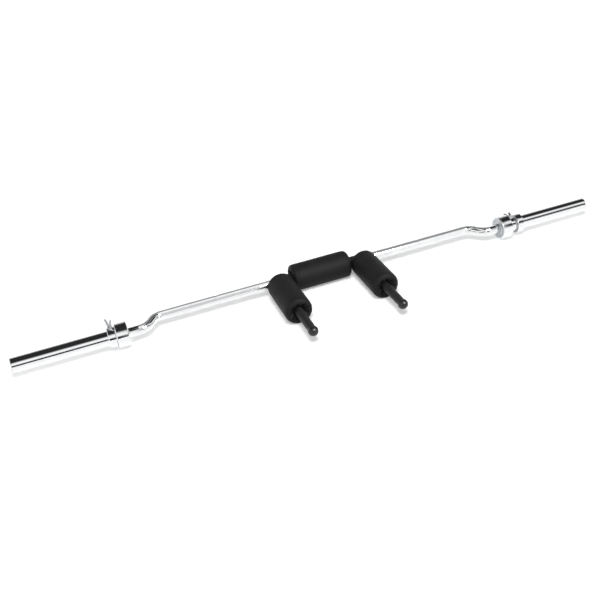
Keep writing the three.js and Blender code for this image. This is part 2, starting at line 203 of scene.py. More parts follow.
relief = add_node(
    tree, "Bump", {"Height": marks.outputs["Fac"]}, Strength=0.04, Distance=0.0001
)
metal = add_node(
    tree,
    "BsdfPrincipled",
    {"Base Color": tint.outputs[0], "Roughness": gloss.outputs[0], "Normal": relief.outputs[0]},
    Metallic=1.0,
)
add_node(tree, "OutputMaterial", {"Surface": metal.outputs[0]})

bar.data.materials.append(chrome_plate)
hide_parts("shaft")
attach(bar, "frame")


# Sleeves: thick drawn tube that the plates slide onto, turned smooth and chrome plated, which
# turns on two bushings. Each is a tube with a rounded end. The left one is a copy of the right.
sleeve_y = -sleeve_offset
sleeve_radius = 0.025
sleeve_bore = 0.019
sleeve_start = 0.7003
sleeve_end = 1.0637
sides_line = (sleeve_y, bar_height)


def copy_across(piece, name):
    """A copy on the left of a piece made on the right, with its own mesh."""
    bpy.ops.object.select_all(action="DESELECT")
    piece.select_set(True)
    bpy.context.view_layer.objects.active = piece
    bpy.ops.object.duplicate()
    twin = bpy.context.object
    twin.name = name
    twin.scale = (-1, 1, 1)
    bpy.ops.object.transform_apply()
    bpy.ops.object.mode_set(mode="EDIT")
    bpy.ops.mesh.select_all(action="SELECT")
    bpy.ops.mesh.normals_make_consistent(inside=False)
    bpy.ops.object.mode_set(mode="OBJECT")
    return twin


def turned_piece(name, stations, edge, sides=96, line=sides_line):
    """A closed ring turned about the sleeve's axis from its profile, with rounded edges."""
    piece = start_ring(name, (stations[0][0], *line), stations[0][1], sides)
    draw_out(line, [*stations, stations[0]])
    bpy.ops.mesh.select_all(action="SELECT")
    bpy.ops.mesh.remove_doubles(threshold=1e-6)
    if edge:
        soften_edges(edge)
    close_up(8)
    return piece


right_sleeve = turned_piece(
    "right_plate_sleeve",
    [
        (sleeve_start, sleeve_bore),
        (sleeve_start, sleeve_radius),
        (sleeve_end, sleeve_radius),
        (sleeve_end, sleeve_bore),
    ],
    0.0004,
)
left_sleeve = copy_across(right_sleeve, "left_plate_sleeve")
for sleeve, side in ((left_sleeve, "left"), (right_sleeve, "right")):
    sleeve.data.materials.append(chrome_plate)
    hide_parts(f"{side}_sleeve")
    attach(sleeve, f"{side}_sleeve_body")


# Collars: the wide stop at the inner end of each sleeve, turned from bar, pressed on and plated
# with the sleeve. Its rims are chamfered, and a lip closes the gap round the bar.
collar_start = 0.694
collar_end = 0.735
collar_radius = 0.041
collar_rim = 0.0022
right_collar = turned_piece(
    "right_collar",
    [
        (collar_start, 0.0168),
        (collar_start, 0.0225),
        (collar_start + 0.0009, 0.0232),
        (collar_start + 0.0009, 0.0355),
        (collar_start, 0.0362),
        (collar_start, collar_radius - collar_rim),
        (collar_start + collar_rim, collar_radius),
        (collar_end - collar_rim, collar_radius),
        (collar_end, collar_radius - collar_rim),
        (collar_end, 0.0253),
        (collar_start + 0.006, 0.0253),
        (collar_start + 0.006, 0.0168),
    ],
    0.0005,
)
left_collar = copy_across(right_collar, "left_collar")

# Satin chrome on the faces turned square to the axis: the plate over rings left by the tool, a real
# 0.2 mm apart and drawn at 1.2 mm to show, spreads the mirror into a soft pale grey. Its colour is
# also painted darker than the bright plate, as painted shade that greys these faces.
shaded_satin_chrome, tree = start_material("turned_satin_chrome_painted_shade")
place = add_node(tree, "TexCoord")
centred = add_node(
    tree,
    "Mapping",
    {"Vector": place.outputs["Object"]},
    vector_type="POINT",
    Location=(0, sleeve_offset, -bar_height),
)
rings = add_node(
    tree,
    "TexWave",
    {"Vector": centred.outputs[0]},
    wave_type="RINGS",
    rings_direction="X",
    Scale=260.0,
    Distortion=0.3,
)
haze = add_node(tree, "TexNoise", {"Vector": place.outputs["Object"]}, Scale=90.0, Detail=4.0)
# Painted shade: a darker grey than the bright plate, so that the flat faces read grey.
tint = add_node(tree, "ValToRGB", {"Fac": haze.outputs["Fac"]})
tint.color_ramp.elements[0].position = 0.35
tint.color_ramp.elements[0].color = linear("#B2B5B8")
tint.color_ramp.elements[1].position = 0.65
tint.color_ramp.elements[1].color = linear("#C6C9CC")
gloss = add_node(tree, "MapRange", {"Value": haze.outputs["Fac"]}, To_Min=0.24, To_Max=0.38)
relief = add_node(
    tree, "Bump", {"Height": rings.outputs["Fac"]}, Strength=0.25, Distance=0.0002
)
metal = add_node(
    tree,
    "BsdfPrincipled",
    {"Base Color": tint.outputs[0], "Roughness": gloss.outputs[0], "Normal": relief.outputs[0]},
    Metallic=1.0,
)
add_node(tree, "OutputMaterial", {"Surface": metal.outputs[0]})


def plate(piece):
    """Bright plate on the round faces of a turned piece, and satin plate with a darker painted
    shade on its flat ones.
    """
    piece.data.materials.append(chrome_plate)
    piece.data.materials.append(shaded_satin_chrome)
    for face in piece.data.polygons:
        face.material_index = 1 if abs(face.normal.x) > 0.98 else 0


for collar, side in ((left_collar, "left"), (right_collar, "right")):
    plate(collar)
    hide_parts(f"{side}_sleeve_collar")
    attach(collar, f"{side}_sleeve_body")


# End caps: a turned plug with a flange, pressed into the outer end of each sleeve and plated. Its
# face is dished inside a raised rim.
cap_end = 1.067
right_cap = start_ring("right_sleeve_cap", (cap_end - 0.015, *sides_line), 0.0187)
draw_out(
    sides_line,
    [
        (cap_end - 0.015, 0.0187),
        (cap_end - 0.003, 0.0187),
        (cap_end - 0.003, 0.025),
        (cap_end - 0.0012, 0.025),
        (cap_end, 0.0238),
        (cap_end, 0.019),
        (cap_end - 0.001, 0.018),
        (cap_end - 0.001, 0.0065),
        (cap_end - 0.0016, 0.006),
    ],
)
bpy.ops.mesh.edge_face_add()
bpy.ops.mesh.select_all(action="DESELECT")
bpy.ops.mesh.select_non_manifold(extend=False)
bpy.ops.mesh.edge_face_add()
soften_edges(0.0004)
close_up(8)
left_cap = copy_across(right_cap, "left_sleeve_cap")
for cap, side in ((left_cap, "left"), (right_cap, "right")):
    plate(cap)
    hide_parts(f"{side}_end_cap")
    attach(cap, f"{side}_sleeve_body")


# Lock rings: a turned and plated ring on each sleeve that holds the plates against the collar,
# with one drilled hole for its wing screw. The screws stand at their own angles on the two sides.
ring_width = 0.025
ring_radius = 0.0345
ring_rim = 0.0015
lock_places = {"left": -0.7478, "right": 0.7738}
screw_angles = {"left": 90, "right": 10}
wing_turns = {"left": -43, "right": 0}
for side, ring_x in lock_places.items():
    near, far = ring_x - ring_width / 2, ring_x + ring_width / 2
    lock_ring = turned_piece(
        f"{side}_clamp_ring",
        [
            (near, 0.0253),
            (near, ring_radius - ring_rim),
            (near + ring_rim, ring_radius),
            (far - ring_rim, ring_radius),
            (far, ring_radius - ring_rim),
            (far, 0.0253),
        ],
        0.0004,
    )
    bpy.ops.object.select_all(action="DESELECT")
    bpy.ops.mesh.primitive_cylinder_add(
        vertices=48,
        radius=0.0053,
        depth=0.03,
        location=(ring_x, sleeve_y, bar_height + 0.035),
    )
    drill = bpy.context.object
    bpy.ops.object.transform_apply()
    bpy.ops.object.mode_set(mode="EDIT")
    bpy.ops.mesh.select_all(action="SELECT")
    bpy.ops.transform.rotate(
        value=math.radians(90 - screw_angles[side]),
        orient_axis="X",
        center_override=(ring_x, *sides_line),
    )
    bpy.ops.object.mode_set(mode="OBJECT")
    bpy.context.view_layer.objects.active = lock_ring
    finish_with("BOOLEAN", object=drill, operation="DIFFERENCE", solver="EXACT")
    bpy.data.objects.remove(drill)
    bpy.ops.object.select_all(action="DESELECT")
    lock_ring.select_set(True)
    bpy.context.view_layer.objects.active = lock_ring
    bpy.ops.object.shade_smooth_by_angle(angle=math.radians(8))
    plate(lock_ring)
    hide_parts(f"{side}_lock_ring")
    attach(lock_ring, f"{side}_lock")


# Wing screws: zinc-plated steel castings with a round shank, a hub and two flared ears, screwed
# into the lock rings by hand. One ear is drawn out of a small block and mirrored.
shank_start = 0.0255
hub_start = 0.0348
hub_end = 0.0408
shank_radius = 0.005
hub_radius = 0.007

# Zinc plate over the cast skin: a dull cool grey, mottled in 8 mm patches, with the 1 mm grain of
# the casting, which breaks up its shine.
zinc_plate, tree = start_material("zinc_plated_steel")
place = add_node(tree, "TexCoord")
grain = add_node(tree, "TexNoise", {"Vector": place.outputs["Object"]}, Scale=900.0, Detail=4.0)
patches = add_node(tree, "TexNoise", {"Vector": place.outputs["Object"]}, Scale=120.0, Detail=3.0)
tint = add_node(tree, "ValToRGB", {"Fac": patches.outputs["Fac"]})
tint.color_ramp.elements[0].position = 0.35
tint.color_ramp.elements[0].color = linear("#A6A9AD")
tint.color_ramp.elements[1].position = 0.65
tint.color_ramp.elements[1].color = linear("#C2C4C7")
gloss = add_node(
    tree, "MapRange", {"Value": grain.outputs["Fac"]}, To_Min=0.3, To_Max=0.46
)
relief = add_node(
    tree, "Bump", {"Height": grain.outputs["Fac"]}, Strength=0.15, Distance=0.0002
)
metal = add_node(
    tree,
    "BsdfPrincipled",
    {"Base Color": tint.outputs[0], "Roughness": gloss.outputs[0], "Normal": relief.outputs[0]},
    Metallic=1.0,
)
add_node(tree, "OutputMaterial", {"Surface": metal.outputs[0]})

for side, ring_x in lock_places.items():
    bpy.ops.object.select_all(action="DESELECT")
    bpy.ops.mesh.primitive_cube_add(size=1, location=(0.0042, 0, hub_end - 0.0005))
    ear = bpy.context.object
    ear.name = f"{side}_wing_screw_head"
    ear.scale = (0.0108, 0.0056, 0.006)
    bpy.ops.object.transform_apply()
    bpy.ops.object.mode_set(mode="EDIT")
    bpy.ops.mesh.select_all(action="DESELECT")
    bpy.ops.object.mode_set(mode="OBJECT")
    for face in ear.data.polygons:
        face.select = face.normal.z > 0.9
    bpy.ops.object.mode_set(mode="EDIT")
    bpy.ops.mesh.select_mode(type="FACE")
    for rise, out, thin in (
        (0.006, 0.0012, 0.96),
        (0.0075, 0.0016, 0.98),
        (0.0075, 0.0026, 1.0),
        (0.005, 0.0008, 0.8),
    ):
        bpy.ops.mesh.extrude_region_move(TRANSFORM_OT_translate={"value": (out, 0, rise)})
        bpy.ops.transform.resize(value=(thin, thin, 1))
    bpy.ops.mesh.select_mode(type="VERT")
    bpy.ops.mesh.select_all(action="SELECT")
    bpy.ops.mesh.normals_make_consistent(inside=False)
    bpy.ops.object.mode_set(mode="OBJECT")
    finish_with("MIRROR", use_mirror_merge=False)
    finish_with("SUBSURF", levels=3, render_levels=3)
    shank = start_ring("shank", (shank_start, 0, 0), shank_radius, 48)
    draw_out(
        (0, 0),
        [
            (shank_start, shank_radius),
            (hub_start, shank_radius),
            (hub_start, hub_radius),
            (hub_end, hub_radius),
        ],
    )
    bpy.ops.mesh.edge_face_add()
    bpy.ops.mesh.select_all(action="DESELECT")
    bpy.ops.mesh.select_non_manifold(extend=False)
    bpy.ops.mesh.edge_face_add()
    soften_edges(0.0008)
    bpy.ops.mesh.select_all(action="SELECT")
    bpy.ops.transform.rotate(value=math.pi / 2, orient_axis="Y", center_override=(0, 0, 0))
    close_up()
    bpy.ops.object.select_all(action="DESELECT")
    shank.select_set(True)
    ear.select_set(True)
    bpy.context.view_layer.objects.active = ear
    bpy.ops.object.join()
    bpy.ops.object.shade_smooth_by_angle(angle=math.radians(40))
    ear.rotation_euler = (0, 0, math.radians(wing_turns[side]))
    bpy.ops.object.transform_apply()
    ear.rotation_euler = (math.radians(screw_angles[side] - 90), 0, 0)
    ear.location = (ring_x, *sides_line)
    bpy.ops.object.transform_apply()
    ear.data.materials.append(zinc_plate)
    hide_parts(f"{side}_wing_screw")
    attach(ear, f"{side}_screw")


# Yoke tube: a black painted steel tube pressed over the middle of the bar, which carries the two
# arms, with a fillet weld round each end.
yoke_end = 0.1767
yoke_radius = 0.019
yoke_line = (0, bar_height)

# Black satin paint: the peel of a sprayed coat, lumps 2.4 mm across, spreads each highlight, and
# 25 mm patches of dust make it a little paler and duller here and there.
satin_paint, tree = start_material("black_satin_paint")
place = add_node(tree, "TexCoord")
peel = add_node(tree, "TexNoise", {"Vector": place.outputs["Object"]}, Scale=420.0, Detail=3.0)
dust = add_node(tree, "TexNoise", {"Vector": place.outputs["Object"]}, Scale=40.0, Detail=5.0)
tint = add_node(tree, "ValToRGB", {"Fac": dust.outputs["Fac"]})
tint.color_ramp.elements[0].position = 0.35
tint.color_ramp.elements[0].color = linear("#121314")
tint.color_ramp.elements[1].position = 0.7
tint.color_ramp.elements[1].color = linear("#1C1D1F")
gloss = add_node(tree, "MapRange", {"Value": dust.outputs["Fac"]}, To_Min=0.3, To_Max=0.48)
relief = add_node(
    tree, "Bump", {"Height": peel.outputs["Fac"]}, Strength=0.12, Distance=0.0003
)
paint = add_node(
    tree,
    "BsdfPrincipled",
    {"Base Color": tint.outputs[0], "Roughness": gloss.outputs[0], "Normal": relief.outputs[0]},
    IOR=1.5,
)
add_node(tree, "OutputMaterial", {"Surface": paint.outputs[0]})

yoke = turned_piece(
    "yoke_sleeve",
    [(-yoke_end, 0.0163), (-yoke_end, yoke_radius), (yoke_end, yoke_radius), (yoke_end, 0.0163)],
    0.0005,
    line=yoke_line,
)
yoke.data.materials.append(satin_paint)
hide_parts("yoke_tube")
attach(yoke, "frame")

weld_start = 0.177
right_weld = turned_piece(
    "right_yoke_bead",
    [
        (weld_start, 0.0163),
        (weld_start, 0.019),
        (weld_start + 0.0010, 0.0189),
        (weld_start + 0.0020, 0.0181),
        (weld_start + 0.0027, 0.0172),
        (weld_start + 0.0030, 0.0163),
    ],
    0,
    sides=180,
    line=yoke_line,
)
for point in right_weld.data.vertices:
    turn = math.atan2(point.co.z - bar_height, point.co.y)
    if point.co.x > weld_start + 0.0005:
        point.co.x += 0.00025 * math.sin(26 * turn) + 0.00012 * math.sin(7 * turn + 1)
left_weld = copy_across(right_weld, "left_yoke_bead")
for weld, side in ((left_weld, "left"), (right_weld, "right")):
    weld.data.materials.append(satin_paint)
    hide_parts(f"{side}_yoke_weld")
    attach(weld, "frame")


# Arms and the fillets at their feet: painted steel tubes under the pads, kept as the frame has
# them, because the pads and grips hide them.
for side in ("left", "right"):
    for node in (f"{side}_arm", f"{side}_arm_weld"):
        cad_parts[node].data.materials.clear()
        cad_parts[node].data.materials.append(satin_paint)


# Spindles, washers and circlips inside the sleeves: zinc-plated steel, and bushings of sintered
# bronze. The sleeves hide them, so the frame's own pieces stay.
for side in ("left", "right"):
    for node in ("spindle", "thrust_washer", "retaining_washer", "circlip"):
        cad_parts[f"{side}_{node}"].data.materials.clear()
        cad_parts[f"{side}_{node}"].data.materials.append(zinc_plate)

# Sintered bronze: warm brown metal with open pores, a real 0.1 mm and drawn at 0.7 mm to show, and
# 11 mm patches where the oil in it has spread.
bronze, tree = start_material("sintered_bronze")
place = add_node(tree, "TexCoord")
pores = add_node(tree, "TexVoronoi", {"Vector": place.outputs["Object"]}, Scale=1400.0)
patches = add_node(tree, "TexNoise", {"Vector": place.outputs["Object"]}, Scale=90.0, Detail=4.0)
tint = add_node(tree, "ValToRGB", {"Fac": patches.outputs["Fac"]})
tint.color_ramp.elements[0].position = 0.35
tint.color_ramp.elements[0].color = linear("#A9854F")
tint.color_ramp.elements[1].position = 0.65
tint.color_ramp.elements[1].color = linear("#C6A169")
gloss = add_node(tree, "MapRange", {"Value": patches.outputs["Fac"]}, To_Min=0.28, To_Max=0.5)
relief = add_node(
    tree, "Bump", {"Height": pores.outputs["Distance"]}, Strength=0.2, Distance=0.0002
)
metal = add_node(
    tree,
    "BsdfPrincipled",
    {"Base Color": tint.outputs[0], "Roughness": gloss.outputs[0], "Normal": relief.outputs[0]},
    Metallic=1.0,
)
add_node(tree, "OutputMaterial", {"Surface": metal.outputs[0]})
for side in ("left", "right"):
    for node in ("inner_bushing", "outer_bushing"):
        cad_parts[f"{side}_{node}"].data.materials.clear()
        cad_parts[f"{side}_{node}"].data.materials.append(bronze)


# Grips: black rubber, moulded with shallow ribs and a ball at the end, pushed onto the arms. Each
# is drawn along X, turned to point forwards, and moved to its arm.
arm_x = 0.1567
arm_reach = 0.348
grip_start = 0.1995
arm_bore = 0.0113
grip_root = 0.0153
grip_neck = 0.0142
ball_radius = 0.0172
rib_pitch = 0.005
rib_depth = 0.0005
ball_x = arm_reach - ball_radius
ball_start = math.acos(-math.sqrt(1 - (grip_neck / ball_radius) ** 2))
neck_x = ball_x + ball_radius * math.cos(ball_start)
rib_count = round((neck_x - grip_start) / rib_pitch)

# Moulded black rubber: 1 mm grit on the ribs keeps them dull, 17 mm patches of bloom grey it, and
# the ball, rubbed smooth by hands, shines more.
rubber, tree = start_material("moulded_black_rubber")
place = add_node(tree, "TexCoord")
grit = add_node(tree, "TexNoise", {"Vector": place.outputs["Object"]}, Scale=1100.0, Detail=4.0)
bloom = add_node(tree, "TexNoise", {"Vector": place.outputs["Object"]}, Scale=60.0, Detail=5.0)
tint = add_node(tree, "ValToRGB", {"Fac": bloom.outputs["Fac"]})
tint.color_ramp.elements[0].position = 0.35
tint.color_ramp.elements[0].color = linear("#121213")
tint.color_ramp.elements[1].position = 0.7
tint.color_ramp.elements[1].color = linear("#1D1D1F")
split = add_node(tree, "SeparateXYZ", {"Vector": place.outputs["Object"]})
ball = add_node(
    tree,
    "MapRange",
    {"Value": split.outputs["Y"]},
    From_Min=-0.312,
    From_Max=-0.322,
)
dull = add_node(tree, "MapRange", {"Value": bloom.outputs["Fac"]}, To_Min=0.46, To_Max=0.62)
gloss = add_node(
    tree,
    "MapRange",
    {"Value": ball.outputs[0], "To Min": dull.outputs[0]},
    To_Max=0.32,
)
grip_grit = add_node(tree, "MapRange", {"Value": ball.outputs[0]}, To_Min=0.5, To_Max=0.06)
relief = add_node(
    tree,
    "Bump",
    {"Height": grit.outputs["Fac"], "Strength": grip_grit.outputs[0]},
    Distance=0.0004,
)
skin = add_node(
    tree,
    "BsdfPrincipled",
    {"Base Color": tint.outputs[0], "Roughness": gloss.outputs[0], "Normal": relief.outputs[0]},
    IOR=1.52,
)
add_node(tree, "OutputMaterial", {"Surface": skin.outputs[0]})

grip_profile = [(grip_start, arm_bore)]
for rib in range(rib_count):
    x = grip_start + (neck_x - grip_start) * rib / rib_count
    radius = grip_root + (grip_neck - grip_root) * rib / rib_count
    step = (neck_x - grip_start) / rib_count
    grip_profile += [
        (x + step * 0.05, radius - rib_depth),
        (x + step * 0.2, radius - rib_depth * 0.9),
        (x + step * 0.4, radius - rib_depth * 0.15),
        (x + step * 0.6, radius),
        (x + step * 0.8, radius - rib_depth * 0.15),
        (x + step * 0.95, radius - rib_depth * 0.9),
    ]
for step in range(20):
    turn = ball_start * (1 - step / 20)
    grip_profile.append(
        (ball_x + ball_radius * math.cos(turn), ball_radius * math.sin(turn))
    )
right_grip = start_ring("right_hand_grip", (grip_start, 0, 0), arm_bore, 72)
draw_out((0, 0), grip_profile)
bpy.ops.mesh.edge_face_add()
bpy.ops.mesh.poke()
bpy.ops.object.mode_set(mode="OBJECT")
tip = max(right_grip.data.vertices, key=lambda point: point.co.x)
tip.co.x = arm_reach
bpy.ops.object.mode_set(mode="EDIT")
bpy.ops.mesh.select_all(action="DESELECT")
bpy.ops.mesh.select_non_manifold(extend=False)
draw_out((0, 0), [(grip_start, arm_bore), (arm_reach - 0.014, arm_bore)])
bpy.ops.mesh.edge_face_add()
close_up(60)
right_grip.rotation_euler = (0, 0, -math.pi / 2)
right_grip.location = (arm_x, 0, bar_height)
bpy.ops.object.transform_apply()
left_grip = copy_across(right_grip, "left_hand_grip")
for grip, side in ((left_grip, "left"), (right_grip, "right")):
    grip.data.materials.append(rubber)
    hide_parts(f"{side}_grip")
    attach(grip, "frame")


# Pads: a firm foam roll in a black woven nylon cover, cut as a tube and gathered at each end by a
# cord, so that its ends draw in with pleats. A cover is turned, pleated, and then blown up as cloth
# while its gathered ends are held.
pad_radius = 0.0475
pad_shoulder = 0.0135
pad_columns = 192
pleats = 9
pleat_depth = 0.009
pad_floor = 0.0
cloth_reach = 0.0025
yoke_clear = 0.0194
cloth_frames = 20
seam_steps = ((0.0012, 0.0004), (0.0024, 0.0013), (0.0036, 0.0004), (0.0048, 0.0))

# Black woven nylon: a matt cloth whose threads, a real 0.5 mm apart, are drawn at 1.6 mm to show.
# Fine fuzz softens them, and 22 mm patches of wear turn it a little greyer.
nylon, tree = start_material("black_woven_nylon")
threads = add_node(tree, "UVMap", uv_map="weave")
warp = add_node(
    tree,
    "TexWave",
    {"Vector": threads.outputs[0]},
    wave_type="BANDS",
    bands_direction="X",
    Scale=196.0,
    Distortion=0.4,
    Detail=1.0,
)
weft = add_node(
    tree,
    "TexWave",
    {"Vector": threads.outputs[0]},
    wave_type="BANDS",
    bands_direction="Y",
    Scale=196.0,
    Distortion=0.4,
    Detail=1.0,
)
weave = add_node(
    tree, "Math", {0: warp.outputs["Fac"], 1: weft.outputs["Fac"]}, operation="MULTIPLY"
)
place = add_node(tree, "TexCoord")
wear = add_node(tree, "TexNoise", {"Vector": place.outputs["Object"]}, Scale=45.0, Detail=5.0)
fuzz = add_node(tree, "TexNoise", {"Vector": place.outputs["Object"]}, Scale=420.0, Detail=3.0)
tint = add_node(tree, "ValToRGB", {"Fac": wear.outputs["Fac"]})
tint.color_ramp.elements[0].position = 0.3
tint.color_ramp.elements[0].color = linear("#141415")
tint.color_ramp.elements[1].position = 0.72
tint.color_ramp.elements[1].color = linear("#1C1C1E")
height = add_node(
    tree, "Math", {0: weave.outputs[0], 1: fuzz.outputs["Fac"]}, operation="ADD"
)
gloss = add_node(tree, "MapRange", {"Value": wear.outputs["Fac"]}, To_Min=0.56, To_Max=0.7)
relief = add_node(
    tree, "Bump", {"Height": height.outputs[0]}, Strength=0.3, Distance=0.0004
)
cloth_shader = add_node(
    tree,
    "BsdfPrincipled",
    {"Base Color": tint.outputs[0], "Roughness": gloss.outputs[0], "Normal": relief.outputs[0]},
    Sheen_Weight=0.03,
    Sheen_Roughness=0.4,
    Sheen_Tint=linear("#8C8C90"),
    IOR=1.36,
    Specular_IOR_Level=0.36,
)
add_node(tree, "OutputMaterial", {"Surface": cloth_shader.outputs[0]})


def cover_profile(start, end, start_mouth, end_mouth):
    """The turned profile of a cover along X, from inside one mouth to inside the other."""

    def one_end(edge, out, mouth):
        rim = pad_radius - pad_shoulder
        points = [
            (edge - out * 0.022, mouth),
            (edge - out * 0.016, mouth),
            (edge - out * 0.0115, mouth + 0.0005),
            (edge - out * 0.0085, mouth + 0.0022),
        ]
        for step in range(1, 8):
            share = step / 8
            radius = mouth + 0.0022 + (rim - mouth - 0.0022) * share
            points.append((edge - out * 0.0085 * (1 - share) ** 1.6, radius))
        for step in range(0, 9):
            turn = math.pi / 2 * step / 8
            points.append(
                (
                    edge - out * pad_shoulder * (1 - math.cos(turn)),
                    rim + pad_shoulder * math.sin(turn),
                )
            )
        for along, sink in seam_steps:
            points.append((edge - out * (pad_shoulder + along), pad_radius - sink))
        return points

    near = one_end(start, -1, start_mouth)
    far = one_end(end, 1, end_mouth)[::-1]
    span = far[0][0] - near[-1][0]
    count = round(span / 0.0055)
    middle = [(near[-1][0] + span * step / count, pad_radius) for step in range(1, count)]
    return near + middle + far


def make_cover(name, start, end, start_mouth, end_mouth, seed):
    """A pad's cover along X, with its weave laid on, its ends pleated and its cloth blown up."""
    profile = cover_profile(start, end, start_mouth, end_mouth)
    cover = start_ring(name, (profile[0][0], 0, 0), profile[0][1], pad_columns)
    draw_out((0, 0), profile)
    inner = [
        (profile[-1][0] + (profile[0][0] - profile[-1][0]) * step / 24) for step in range(1, 25)
    ]
    draw_out(
        (0, 0),
        [
            profile[-1],
            *[
                (x, profile[-1][1] + (profile[0][1] - profile[-1][1]) * (k + 1) / 24)
                for k, x in enumerate(inner)
            ],
        ],
    )
    bpy.ops.mesh.select_all(action="SELECT")
    bpy.ops.mesh.remove_doubles(threshold=1e-6)
    bpy.ops.mesh.normals_make_consistent(inside=False)
    bpy.ops.object.mode_set(mode="OBJECT")

    weave_map = cover.data.uv_layers.new(name="weave")
    middle = (start + end) / 2
    for face in cover.data.polygons:
        centre = math.atan2(face.center.z, face.center.y)
        for corner in face.loop_indices:
            point = cover.data.vertices[cover.data.loops[corner].vertex_index].co
            turn = math.atan2(point.z, point.y)
            turn += round((centre - turn) / (2 * math.pi)) * 2 * math.pi
            radius = math.hypot(point.y, point.z)
            run = point.x + math.copysign(max(0, pad_radius - radius), point.x - middle)
            weave_map.data[corner].uv = (turn * pad_radius, run)

    dice = random.Random(seed)
    folds = []
    for out in (-1, 1):
        for pleat in range(pleats):
            folds.append(
                (
                    out,
                    2 * math.pi * (pleat + dice.uniform(-0.22, 0.22)) / pleats,
                    dice.uniform(0.6, 1.15),
                    dice.uniform(0.11, 0.19),
                    dice.uniform(-0.12, 0.12),
                    dice.uniform(0.033, 0.042),
                )
            )
    held = cover.vertex_groups.new(name="held")
    rest = []
    for point in cover.data.vertices:
        radius = math.hypot(point.co.y, point.co.z)
        turn = math.atan2(point.co.z, point.co.y)
        out = 1 if point.co.x > middle else -1
        edge = end if out > 0 else start
        depth_in = out * (edge - point.co.x)
        gathered = max(start_mouth, end_mouth) + 0.002
        outer = depth_in < 0.0125 or radius > gathered
        held.add([point.index], 1.0 if radius < gathered else 0.0, "REPLACE")
        if outer and depth_in < 0.02:
            push = 0
            for side, place_turn, depth, width, slant, reach in folds:
                if side != out:
                    continue
                away = (turn - place_turn - slant * (radius - 0.02) / 0.02 + math.pi) % (
                    2 * math.pi
                ) - math.pi
                fade = max(0.0, min(1.0, (reach - radius) / 0.012))
                fade = fade * fade * (3 - 2 * fade)
                push += depth * fade * math.exp(-((away / width) ** 2))
            point.co.x -= out * pleat_depth * min(push, 1.0)
        rest.append(point.co.copy())

    bpy.context.view_layer.objects.active = cover
    bpy.ops.object.modifier_add(type="CLOTH")
    cloth = cover.modifiers[-1]
    cloth.settings.quality = 6
    cloth.settings.mass = 0.3
    cloth.settings.tension_stiffness = 25
    cloth.settings.compression_stiffness = 25
    cloth.settings.shear_stiffness = 15
    cloth.settings.bending_stiffness = 1.2
    cloth.settings.use_pressure = True
    cloth.settings.uniform_pressure_force = 4
    cloth.settings.effector_weights.gravity = 0
    cloth.settings.vertex_group_mass = "held"
    cloth.point_cache.frame_start = 1
    cloth.point_cache.frame_end = cloth_frames
    for number in range(1, cloth_frames + 1):
        bpy.context.scene.frame_set(number)
    bpy.ops.object.modifier_apply(modifier=cloth.name)
    bpy.context.scene.frame_set(1)
    for point, before in zip(cover.data.vertices, rest):
        step = point.co - before
        if step.length > cloth_reach:
            point.co = before + step * (cloth_reach / step.length)
    return cover


def finish_cover(cover):
    """Rests a cover on the floor, presses it against the yoke tube, and smooths it."""
    for point in cover.data.vertices:
        above = point.co.z - bar_height
        if abs(above) < yoke_clear and cover.name != "neck_roll":
            tube = -math.sqrt(yoke_clear**2 - above**2)
            if point.co.y > tube:
                point.co.y = tube
        point.co.z = max(point.co.z, pad_floor)
    bpy.ops.object.select_all(action="DESELECT")
    cover.select_set(True)
    bpy.context.view_layer.objects.active = cover
    finish_with("SUBSURF", levels=1, render_levels=1)
    for point in cover.data.vertices:
        point.co.z = max(point.co.z, pad_floor)
    bpy.ops.object.shade_smooth()
    cover.data.materials.append(nylon)


right_pad = make_cover("right_shoulder_pad", 0.015, 0.213, 0.0203, 0.0162, seed=5)
right_pad.rotation_euler = (0, 0, -math.pi / 2)
right_pad.location = (arm_x, 0, bar_height)
bpy.ops.object.select_all(action="DESELECT")
right_pad.select_set(True)
bpy.context.view_layer.objects.active = right_pad
bpy.ops.object.transform_apply()
finish_cover(right_pad)
left_pad = copy_across(right_pad, "left_shoulder_pad")
neck_pad = make_cover("neck_roll", -0.1084, 0.1067, 0.0199, 0.0199, seed=8)
neck_pad.location = (0, 0, bar_height)
bpy.ops.object.select_all(action="DESELECT")
neck_pad.select_set(True)
bpy.context.view_layer.objects.active = neck_pad
bpy.ops.object.transform_apply()
finish_cover(neck_pad)
for pad, node in (
    (left_pad, "left_shoulder_pad"),
    (right_pad, "right_shoulder_pad"),
    (neck_pad, "neck_pad"),
):
    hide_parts(f"{node}_cover", f"{node}_foam")
    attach(pad, "frame")


# Studio: a white paper sweep under a soft light on the camera's side. Plain cards and silks hang in
# an arch out of sight, and the plated parts mirror them as dark and bright bands.
bpy.ops.object.select_all(action="DESELECT")
bpy.ops.mesh.primitive_plane_add(size=24, location=(0, 0, -0.0002))
floor = bpy.context.object
floor.name = "studio_floor"
white_sweep, tree = start_material("white_studio_sweep")
rays = add_node(tree, "LightPath")
clear = add_node(
    tree,
    "Math",
    {0: rays.outputs["Is Camera Ray"], 1: rays.outputs["Is Glossy Ray"]},
    operation="MAXIMUM",
)
clear = add_node(
    tree, "Math", {0: clear.outputs[0], 1: rays.outputs["Is Transmission Ray"]}, operation="MAXIMUM"
)
paper = add_node(tree, "BsdfDiffuse", Color=linear("#F2F2F2"), Roughness=1.0)
place = add_node(tree, "TexCoord")
reach = add_node(tree, "VectorMath", {0: place.outputs["Object"]}, operation="LENGTH")
backlight = add_node(
    tree,
    "MapRange",
    {"Value": reach.outputs["Value"]},
    From_Min=0.5,
    From_Max=3.5,
    To_Min=0.3,
    To_Max=0.64,
)
glow_strength = add_node(
    tree, "Math", {0: clear.outputs[0], 1: backlight.outputs[0]}, operation="MULTIPLY"
)
glow = add_node(tree, "Emission", {"Strength": glow_strength.outputs[0]}, Color=(1, 1, 1, 1))
both = add_node(tree, "AddShader", {0: paper.outputs[0], 1: glow.outputs[0]})
add_node(tree, "OutputMaterial", {"Surface": both.outputs[0]})
floor.data.materials.append(white_sweep)

